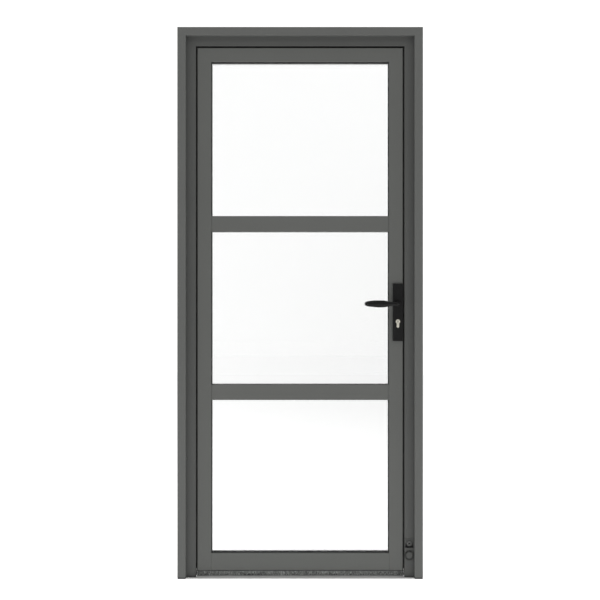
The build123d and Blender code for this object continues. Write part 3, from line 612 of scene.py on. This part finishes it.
class DOOR_OT_brush(bpy.types.Operator):
    """Fill the holder under the leaf with rows of bristle tufts"""

    bl_idname = "door.brush"
    bl_label = "Make the brush"

    # A tuft's sides, and the width of its tip as a share of its root's
    SIDES = 5
    TIP_WIDTH = 0.85
    # Shares of a tuft's height from its tip: where it is cut across, below which its points splay, with how
    # far they splay, and below which they are brought level
    CUTS = (0.3, 0.62)
    SPLAY = ((0.7, 0.0004), (0.4, 0.0006), (0.1, 0.0008))
    TIP = 0.1

    def execute(self, context):
        colours, sizes, _ = settings()
        low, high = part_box("brush")
        low[0] -= sizes.brush_reach
        high[0] += sizes.brush_reach
        rows = []
        for row in range(sizes.bristle_rows):
            across = (row + 0.5) / sizes.bristle_rows
            y = low[1] + across * (high[1] - low[1])
            shift = sizes.bristle_pitch * (row % 2) / 2
            rows.append(self.tuft_row(low, high, y, shift, row, sizes))
        brush = join(rows)
        settle(brush, "brush_pile", pile("Brush Pile", colours.brush))
        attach(brush, "leaf")
        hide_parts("brush")
        return {"FINISHED"}

    def tuft_row(self, low, high, y, shift, seed, sizes):
        """One tuft, repeated along the brush, with its tips splayed at random."""
        deselect()
        margin = sizes.bristle_radius
        length = high[2] - low[2]
        x = low[0] + margin + shift
        bpy.ops.mesh.primitive_cone_add(vertices=self.SIDES, depth=length,
                                        radius1=sizes.bristle_radius * self.TIP_WIDTH,
                                        radius2=sizes.bristle_radius,
                                        location=(x, y, high[2] - length / 2))
        tuft = open_primitive()
        for height in self.CUTS:
            bpy.ops.mesh.select_all(action="SELECT")
            bpy.ops.mesh.bisect(plane_co=(x, y, low[2] + height * length), plane_no=(0, 0, 1))
        bpy.ops.object.mode_set(mode="OBJECT")
        count = int((high[0] - low[0] - 2 * margin - shift) / sizes.bristle_pitch) + 1
        apply_modifier(tuft, "ARRAY", use_relative_offset=False, use_constant_offset=True,
                       constant_offset_displace=(sizes.bristle_pitch, 0, 0), count=count)
        bpy.ops.object.mode_set(mode="EDIT")
        for top, reach in self.SPLAY:
            pick_points(tuft, lambda place: place.z < low[2] + top * length)
            bpy.ops.transform.vertex_random(offset=reach, uniform=0.5, normal=0.0, seed=seed + 1)
        pick_points(tuft, lambda place: place.z < low[2] + self.TIP * length)
        bpy.ops.transform.resize(value=(1, 1, 0), center_override=(x, y, low[2]))
        bpy.ops.object.mode_set(mode="OBJECT")
        smooth(tuft, 60.0)
        return tuft


# Fasteners

# A screw's head, as shares of its radius and height: its sides, the width and rise of its two slopes, and the
# length, width and middle of its cross
HEAD_SIDES = 28
HEAD_SLOPES = ((0.18, 0.22), (0.3, 0.1))
CROSS_LENGTH, CROSS_WIDTH, CROSS_MIDDLE = 1.1, 0.24, 0.75

# How far the hinges' screws lie from the plates' sides and ends
FRAME_COLUMNS = (0.0072,)
LEAF_COLUMNS = (0.0085, 0.0255)
HINGE_SCREW_END = 0.009


def screw_head(radius, height):
    """A raised countersunk head with a cross recess, standing on the origin along Z."""
    deselect()
    bpy.ops.mesh.primitive_cylinder_add(vertices=HEAD_SIDES, radius=radius, depth=height)
    head = open_primitive()
    pick_faces(head, lambda centre, normal: normal.z > FACING)
    for width, rise in HEAD_SLOPES:
        bpy.ops.mesh.inset(thickness=radius * width, depth=height * rise)
    bpy.ops.object.mode_set(mode="OBJECT")
    for turn in (0.0, math.pi / 2):
        deselect()
        bpy.ops.mesh.primitive_cube_add(size=1.0, location=(0, 0, height * CROSS_MIDDLE),
                                        rotation=(0, 0, turn),
                                        scale=(radius * CROSS_LENGTH, radius * CROSS_WIDTH, height))
        cut(head, bpy.context.object)
    smooth(head, 32.0)
    return head


def seat(node, start, direction):
    """Where a line from outside first meets a CAD node, with the surface's normal there."""
    hit, point, normal, _ = nodes[node].ray_cast(Vector(start), Vector(direction))
    if not hit:
        raise RuntimeError(f"no surface of {node} under a fastener")
    return facing(point, normal)


def hinge_screw_places(part):
    """Two or four places on the flat of each hinge plate on one side of the hinges."""
    places = []
    for level in HINGE_LEVELS:
        node = f"hinge_{part}_{level}"
        low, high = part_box(node)
        if part == "frame":
            columns = [low[0] + column for column in FRAME_COLUMNS]
        else:
            columns = [high[0] - column for column in LEAF_COLUMNS]
        for x in columns:
            for z in (low[2] + HINGE_SCREW_END, high[2] - HINGE_SCREW_END):
                places.append(seat(node, (x, high[1] + LOOK_FROM, z), (0, -1, 0)))
    return places


class DOOR_OT_screws(bpy.types.Operator):
    """Set screw heads into the hinges, the keeps, the faceplate and the inside plate"""

    bl_idname = "door.screws"
    bl_label = "Set the screws"

    # How far the screws lie from the ends of the keep, the faceplate and the through screws
    KEEP_END = 0.0055
    FACEPLATE_END = 0.012
    THROUGH_END = 0.0025
    # From the faceplate's outer edge to the keep's screws, and from the cylinder's screw and the bolt to the
    # faceplate's next screw
    KEEP_SIDE = 0.008
    UNDER_CYLINDER = 0.03
    OVER_BOLT = 0.085
    # Heights of the faceplate's lone screws
    LOWER_SCREW = 0.62
    UPPER_SCREW = 1.5

    def execute(self, context):
        sizes = settings()[1]
        dark = coated("Screw Coating", (0.02, 0.02, 0.02))
        bright = plated("Screw Zinc", (0.52, 0.53, 0.54), roughness=0.3)
        small = (sizes.screw_radius, sizes.screw_height)
        large = (sizes.plate_screw_radius, sizes.screw_height)
        frame_hinges, leaf_hinges = hinge_screw_places("frame"), hinge_screw_places("sash")
        self.set_screws("hinge_screws_frame", small, frame_hinges, dark, "frame", "hinge_metal")
        self.set_screws("hinge_screws_leaf", small, leaf_hinges, dark, "leaf", "hinge_metal")
        self.set_screws("keep_screws", small, self.keep_places(), bright, "frame", "lock_metal")
        self.set_screws("faceplate_screws", small, self.faceplate_places(), bright, "leaf", "lock_metal")
        self.set_screws("plate_screws", large, self.plate_places(), dark, "leaf", "handle_metal")
        return {"FINISHED"}

    def set_screws(self, name, size, places, material, body, slot):
        screws = copies(screw_head(*size), places)
        settle(screws, name, material)
        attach(screws, body)

    def keep_places(self):
        low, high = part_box("lock_keep")
        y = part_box("lock_faceplate")[0][1] + self.KEEP_SIDE
        heights = (low[2] + self.KEEP_END, high[2] - self.KEEP_END)
        return [seat("lock_keep", (low[0] - LOOK_FROM, y, z), (1, 0, 0)) for z in heights]

    def faceplate_places(self):
        low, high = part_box("lock_faceplate")
        y = centre_of("lock_faceplate")[1]
        screw_z = centre_of("cylinder_screw")[2]
        bolt_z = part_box("dead_bolt")[1][2]
        heights = (low[2] + self.FACEPLATE_END, self.LOWER_SCREW, screw_z - self.UNDER_CYLINDER, screw_z,
                   bolt_z + self.OVER_BOLT, self.UPPER_SCREW, high[2] - self.FACEPLATE_END)
        places = []
        for z in heights:
            node = "cylinder_screw" if z == screw_z else "lock_faceplate"
            places.append(seat(node, (high[0] + LOOK_FROM, y, z), (-1, 0, 0)))
        return places

    def plate_places(self):
        low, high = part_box("handle_screws")
        x = centre_of("handle_screws")[0]
        heights = (low[2] + self.THROUGH_END, high[2] - self.THROUGH_END)
        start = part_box("plate_inside")[1][1] + LOOK_FROM
        return [seat("plate_inside", (x, start, z), (0, -1, 0)) for z in heights]


# Key cylinder

class DOOR_OT_cylinder(bpy.types.Operator):
    """Face both ends of the cylinder's plug, with a countersunk entry for the key"""

    bl_idname = "door.cylinder"
    bl_label = "Face the cylinder"

    SIDES = 48
    # Widths of the face's rim and of the slope to its dish, as shares of its radius, and the dish's depth, as
    # a share of its thickness
    RIM, SLOPE, DISH = 0.06, 0.05, 0.35
    # How much of its width and height the key's entry keeps at its inner end, and its depth in thicknesses
    THROAT = (0.6, 0.9, 1.0)
    ENTRY_DEPTH = 4

    def execute(self, context):
        colours, sizes, _ = settings()
        low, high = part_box("cylinder_plug")
        x = centre_of("cylinder_plug")[0]
        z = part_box("cylinder_housing")[1][2] - sizes.head_radius
        blank = self.face(sizes)
        ends = [facing((x, low[1], z), (0, -1, 0)), facing((x, high[1], z), (0, 1, 0))]
        faces = copies(blank, ends)
        nickel = plated("Face Nickel", colours.cylinder, roughness=0.34, metallic=0.5)
        settle(faces, "plug_faces", nickel)
        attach(faces, "key_plug")
        return {"FINISHED"}

    def face(self, sizes):
        """A thin dished disc that stands on the origin along Z, cut through by a flared slot."""
        deselect()
        radius, thickness = sizes.plug_radius, sizes.plug_face
        bpy.ops.mesh.primitive_cylinder_add(vertices=self.SIDES, radius=radius, depth=thickness,
                                            location=(0, 0, thickness / 2))
        disc = open_primitive()
        pick_faces(disc, lambda centre, normal: normal.z > FACING)
        bpy.ops.mesh.inset(thickness=radius * self.RIM)
        bpy.ops.mesh.inset(thickness=radius * self.SLOPE, depth=-thickness * self.DISH)
        bpy.ops.object.mode_set(mode="OBJECT")
        deselect()
        entry = (sizes.key_width, sizes.key_height, thickness * self.ENTRY_DEPTH)
        bpy.ops.mesh.primitive_cube_add(size=1.0, scale=entry)
        cutter = open_primitive()
        pick_faces(cutter, lambda centre, normal: normal.z < -FACING)
        bpy.ops.transform.resize(value=self.THROAT, center_override=(0, 0, 0))
        bpy.ops.object.mode_set(mode="OBJECT")
        cut(disc, cutter)
        smooth(disc, 30.0)
        return disc


# Levers

class DOOR_OT_levers(bpy.types.Operator):
    """Model the outside lever from its neck to its tip, and mirror it for the inside"""

    bl_idname = "door.levers"
    bl_label = "Make the levers"

    NECK_SIDES = 20
    BEND_STEPS = 6
    # The width of the closing ring on the tip, as a share of the tip's half depth
    TIP_RING = 0.5

    def execute(self, context):
        colours, sizes, _ = settings()
        low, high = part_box("lever_outside")
        x, _, z = centre_of("spindle")
        radius = sizes.neck_radius
        grip_y = low[1] + radius
        lever = self.neck_end(x, high[1], z, radius)
        push((0, grip_y + sizes.lever_bend - high[1], 0))
        bpy.ops.mesh.spin(steps=self.BEND_STEPS, angle=math.pi / 2, axis=(0, 0, 1),
                          center=(x - sizes.lever_bend, grip_y + sizes.lever_bend, z))
        half = (radius, radius)
        station = sizes.lever_bend
        for reach, half_height, half_depth in GRIP_STATIONS:
            push((station - reach, 0, 0))
            centre = (x - reach, grip_y, z)
            bpy.ops.transform.resize(value=(1, half_depth / half[1], half_height / half[0]),
                                     center_override=centre)
            half = (half_height, half_depth)
            station = reach
        bpy.ops.mesh.edge_face_add()
        bpy.ops.mesh.inset(thickness=half[1] * self.TIP_RING)
        bpy.ops.object.mode_set(mode="OBJECT")
        apply_modifier(lever, "SUBSURF", levels=2, render_levels=2)
        smooth(lever, 180.0)
        middle = sum(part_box(f"plate_{face}")[index][1]
                     for face, index in (("outside", 0), ("inside", 1))) / 2
        mirrored = Matrix.Translation((0, 2 * middle, 0)) @ Matrix.Diagonal((1, -1, 1, 1))
        inside = lever.copy()
        inside.data = lever.data.copy()
        bpy.context.collection.objects.link(inside)
        inside.matrix_world = mirrored @ lever.matrix_world
        coating = coated("Lever Coating", colours.handle)
        for piece, face in ((lever, "outside"), (inside, "inside")):
            settle(piece, f"lever_grip_{face}", coating)
            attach(piece, "handle")
            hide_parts(f"lever_{face}")
        return {"FINISHED"}

    def neck_end(self, x, y, z, radius):
        """The disc that closes the neck against the plate, selected in edit mode."""
        deselect()
        bpy.ops.mesh.primitive_circle_add(vertices=self.NECK_SIDES, radius=radius, fill_type="NGON",
                                          location=(x, y, z), rotation=(math.pi / 2, 0, 0))
        piece = open_primitive()
        bpy.ops.mesh.select_all(action="SELECT")
        return piece


# Fitting low on the lock jamb

class DOOR_OT_foot_fitting(bpy.types.Operator):
    """Model the buffer's ring and cap, and the eye over the keeper's window"""

    bl_idname = "door.foot_fitting"
    bl_label = "Make the foot fitting"

    # The buffer's ring inwards from its edge: the rim, the sides and floor of the first groove, then, past
    # a flat, the side and floor of the second, and the play round the cap
    RIM, SIDE, FLOOR = 0.0007, 0.0003, 0.0014
    INNER_SIDE, INNER_FLOOR, PLAY = 0.0002, 0.0009, 0.0003
    GROOVE_DEPTH = 0.003
    # The depth of the hole for the cap, as a share of the ring's depth
    HOLE = 0.95
    # Width and rise of the cap's steps, from its edge to its raised middle
    CAP_STEPS = ((0.0022, 0.0), (0.0006, -0.0005), (0.006, 0.0001))
    EYE_BORE = 0.003
    EYE_RIM = 0.0015

    def execute(self, context):
        colour = settings()[0].fitting
        coating = coated("Eye Coating", colour)
        ring = self.disc("foot_buffer_collar", 64)
        self.hollow(ring)
        # The ring's coating darkens its grooves with painted shade
        ring_coating_painted_shade = coated("Buffer Coating", colour, "foot_buffer_collar", BUFFER_PAINTED_SHADES)
        self.finish(ring, "buffer_ring", ring_coating_painted_shade, "foot_buffer_collar")
        cap = self.disc("foot_buffer_cap", 56)
        self.dish(cap)
        self.finish(cap, "buffer_cap", coating, "foot_buffer_cap")
        eye = self.disc("foot_keeper_eye", 40)
        self.bore(eye)
        self.finish(eye, "keeper_eye", coating, "foot_keeper_eye")
        return {"FINISHED"}

    def measure(self, node):
        """The radius and depth of a round CAD node."""
        low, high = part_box(node)
        return (high[0] - low[0]) / 2, high[1] - low[1]

    def disc(self, node, sides):
        """A round blank as large as a node, with its front face selected in edit mode."""
        radius, depth = self.measure(node)
        deselect()
        bpy.ops.mesh.primitive_cylinder_add(vertices=sides, radius=radius, depth=depth,
                                            location=centre_of(node), rotation=(math.pi / 2, 0, 0))
        piece = open_primitive()
        pick_faces(piece, lambda face, normal: normal.y < -FACING)
        return piece

    def hollow(self, ring):
        """Two grooves in the ring's face, and its middle sunk to the cap's width, down to the plate."""
        outer, depth = self.measure("foot_buffer_collar")
        bore = self.measure("foot_buffer_cap")[0] + self.PLAY
        grooves = self.RIM + 2 * self.SIDE + self.FLOOR + self.INNER_SIDE + self.INNER_FLOOR
        self.inset((
            (self.RIM, 0.0),
            (self.SIDE, -self.GROOVE_DEPTH),
            (self.FLOOR, 0.0),
            (self.SIDE, self.GROOVE_DEPTH),
            (outer - bore - grooves, 0.0),
            (self.INNER_SIDE, -self.GROOVE_DEPTH),
            (self.INNER_FLOOR, 0.0),
        ))
        push((0, depth * self.HOLE - self.GROOVE_DEPTH, 0))
        self.round_off(ring, width=0.0004, segments=2, degrees=40)

    def dish(self, cap):
        """A shallow dish with a raised middle, as on a pressed cap."""
        self.inset(self.CAP_STEPS)
        self.round_off(cap, width=0.0003, segments=2, degrees=30)

    def bore(self, eye):
        """A through hole with a rounded lip, and the eye's rim rolled back."""
        radius, depth = self.measure("foot_keeper_eye")
        self.inset(((self.EYE_RIM, 0.0), (radius - self.EYE_RIM - self.EYE_BORE, 0.0)))
        push((0, depth, 0))
        self.round_off(eye, width=0.0009, segments=3, degrees=40)

    def inset(self, steps):
        """Insets the selected face by steps of a width and a rise."""
        for width, rise in steps:
            bpy.ops.mesh.inset(thickness=width, depth=rise)

    def round_off(self, piece, width, segments, degrees):
        """Leaves edit mode and bevels the edges that turn by more than an angle."""
        bpy.ops.object.mode_set(mode="OBJECT")
        apply_modifier(piece, "BEVEL", width=width, segments=segments, limit_method="ANGLE",
                       angle_limit=math.radians(degrees))

    def finish(self, piece, name, material, node):
        smooth(piece, 30.0)
        settle(piece, name, material)
        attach(piece, "frame")
        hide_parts(node)


# Stage

class DOOR_OT_stage(bpy.types.Operator):
    """Lay the pale floor, light the door from all round and place the camera"""

    bl_idname = "door.stage"
    bl_label = "Set the stage"

    FLOOR_SIZE = 24.0
    FLOOR_DROP = 0.0005
    # What the lamps face, and the place and size of those above and beside the door
    AIM = (0.0, 0.0, 1.1)
    ABOVE, ABOVE_SIZE = (0, -0.6, 5.0), 6.0
    BESIDE, BESIDE_SIZE = (3.6, -1.6, 1.4), 2.4
    # How far the camera stands to the hinge side of the door's middle, its sensor and how far it sees
    CAMERA_ASIDE = 0.0006
    SENSOR = 36.0
    SIGHT = 200.0

    def execute(self, context):
        studio = settings()[2]
        self.lay_floor(studio)
        self.light(context.scene, studio)
        self.place_camera(context.scene, studio)
        context.scene.view_settings.view_transform = "Standard"
        context.scene.view_settings.look = "None"
        return {"FINISHED"}

    def lay_floor(self, studio):
        deselect()
        bpy.ops.mesh.primitive_plane_add(size=self.FLOOR_SIZE, location=(0, 0, -self.FLOOR_DROP))
        floor = bpy.context.object
        floor.name = "floor"
        finish = Finish("Studio Floor")
        finish.tint(finish.noise(0.8, 2.0), (0.93, 0.93, 0.93), spread=0.01)
        finish.set(Roughness=0.9, Specular_IOR_Level=0.1, Emission_Color=WHITE,
                   Emission_Strength=studio.floor_glow)
        floor.data.materials.append(finish.material)

    def light(self, scene, studio):
        """A white backdrop for what is seen, a weaker fill for what it lights, and three soft lamps."""
        world = bpy.data.worlds.new("Studio")
        world.use_nodes = True
        tree = world.node_tree
        background = tree.nodes["Background"]
        background.inputs["Color"].default_value = WHITE
        path = tree.nodes.new("ShaderNodeLightPath")
        seen = tree.nodes.new("ShaderNodeMath")
        seen.operation = "MAXIMUM"
        tree.links.new(path.outputs["Is Camera Ray"], seen.inputs[0])
        tree.links.new(path.outputs["Is Transmission Ray"], seen.inputs[1])
        strength = tree.nodes.new("ShaderNodeMapRange")
        strength.inputs["To Min"].default_value = studio.fill
        strength.inputs["To Max"].default_value = studio.backdrop
        tree.links.new(seen.outputs["Value"], strength.inputs["Value"])
        tree.links.new(strength.outputs["Result"], background.inputs["Strength"])
        scene.world = world
        x, y, z = self.BESIDE
        self.lamp("overhead", self.ABOVE, self.ABOVE_SIZE, studio.overhead)
        self.lamp("side_left", (-x, y, z), self.BESIDE_SIZE, studio.sides)
        self.lamp("side_right", (x, y, z), self.BESIDE_SIZE, studio.sides)

    def lamp(self, name, place, size, power):
        """A square soft lamp that faces the middle of the door."""
        turn = (Vector(self.AIM) - Vector(place)).to_track_quat("-Z", "Y").to_euler()
        bpy.ops.object.light_add(type="AREA", location=place, rotation=turn)
        lamp = bpy.context.object
        lamp.name = name
        lamp.data.size = size
        lamp.data.energy = power

    def place_camera(self, scene, studio):
        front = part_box("head")[0][1]
        place = (-self.CAMERA_ASIDE, front - studio.camera_distance, studio.camera_height)
        bpy.ops.object.camera_add(location=place, rotation=(math.pi / 2, 0, 0))
        camera = bpy.context.object
        camera.name = "camera"
        camera.data.lens = studio.lens
        camera.data.sensor_width = self.SENSOR
        camera.data.clip_end = self.SIGHT
        scene.camera = camera


# Add-on

class VIEW3D_PT_door(bpy.types.Panel):
    """Lists the door's operators and settings"""

    bl_idname = "VIEW3D_PT_door"
    bl_label = "Glazed Front Door"
    bl_space_type = "VIEW_3D"
    bl_region_type = "UI"
    bl_category = "Door"

    def draw(self, context):
        column = self.layout.column(align=True)
        for operator in OPERATORS:
            column.operator(operator.bl_idname)
        for group in (context.scene.door_colours, context.scene.door_sizes, context.scene.door_studio):
            box = self.layout.box()
            for key in group.__annotations__:
                box.prop(group, key)


OPERATORS = (
    DOOR_OT_profiles,
    DOOR_OT_glazing,
    DOOR_OT_hardware,
    DOOR_OT_brush,
    DOOR_OT_screws,
    DOOR_OT_cylinder,
    DOOR_OT_levers,
    DOOR_OT_foot_fitting,
    DOOR_OT_stage,
)
GROUPS = (
    ("door_colours", DoorColours),
    ("door_sizes", DoorSizes),
    ("door_studio", DoorStudio),
)


def register():
    for name, group in GROUPS:
        bpy.utils.register_class(group)
        setattr(bpy.types.Scene, name, PointerProperty(type=group))
    for operator in OPERATORS:
        bpy.utils.register_class(operator)
    bpy.utils.register_class(VIEW3D_PT_door)


def unregister():
    bpy.utils.unregister_class(VIEW3D_PT_door)
    for operator in reversed(OPERATORS):
        bpy.utils.unregister_class(operator)
    for name, group in reversed(GROUPS):
        delattr(bpy.types.Scene, name)
        bpy.utils.unregister_class(group)


def main():
    register()
    bpy.ops.door.profiles()
    bpy.ops.door.glazing()
    bpy.ops.door.hardware()
    bpy.ops.door.brush()
    bpy.ops.door.screws()
    bpy.ops.door.cylinder()
    bpy.ops.door.levers()
    bpy.ops.door.foot_fitting()
    bpy.ops.door.stage()


if __name__ == "__main__":
    main()
